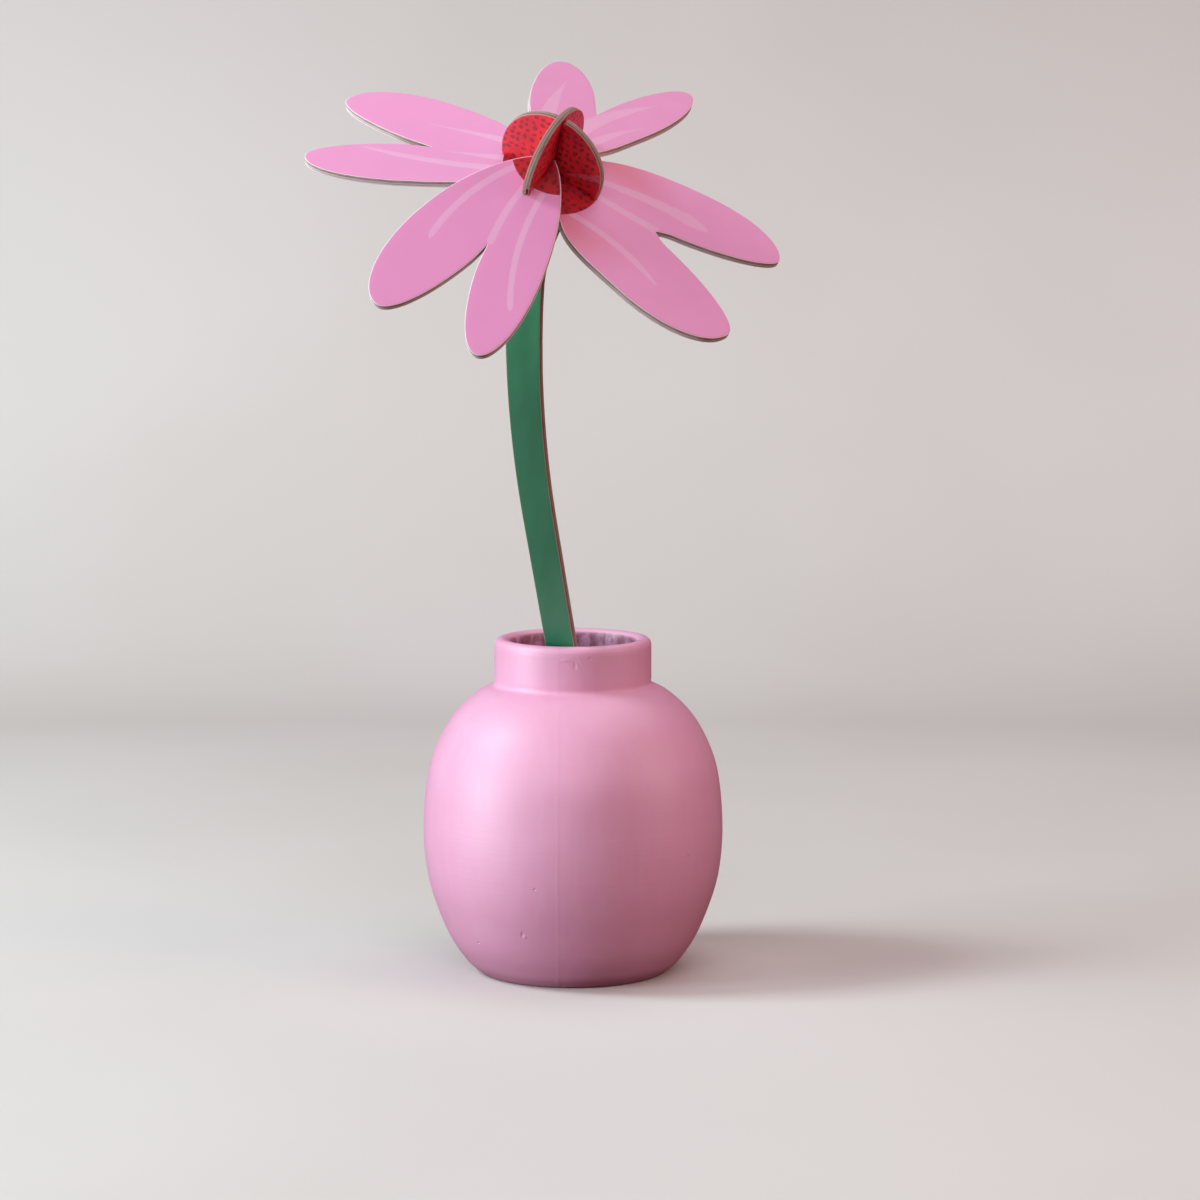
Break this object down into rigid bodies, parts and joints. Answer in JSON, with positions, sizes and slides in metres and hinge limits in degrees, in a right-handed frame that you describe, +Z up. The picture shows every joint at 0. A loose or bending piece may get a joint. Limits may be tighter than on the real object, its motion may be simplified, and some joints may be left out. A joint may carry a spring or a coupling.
{
  "type": "slot-together cardboard coneflower in a vase",
  "caption": "Slot-together printed cardboard coneflower with drooping pink petals, a red cone and a curved green stem, leaning in a matte pink round-bellied ceramic vase.",
  "frame": {"origin": "centre of the vase's foot, on the surface it stands on", "axes": "+Z up; the flower leans out of the vase towards -Y; +X is to the right for a viewer on the -Y side"},
  "size_m": [0.1314, 0.204, 0.2806],
  "materials": {
    "vase_pink": "matte hand-painted pink, satin sheen",
    "stem_print": "satin printed paper on greyboard, green stem under a red cone half",
    "cone_print": "satin printed paper on greyboard, red with dark seed marks",
    "petal_print": "satin printed paper on greyboard, pink with pale strokes"
  },
  "bodies": {
    "root": {"vase": "vase_pink", "stem_board": "stem_print", "cross_fin": "cone_print", "petals_front": "petal_print", "petals_right": "petal_print", "petals_back": "petal_print", "petals_left": "petal_print"}
  },
  "joints": []
}
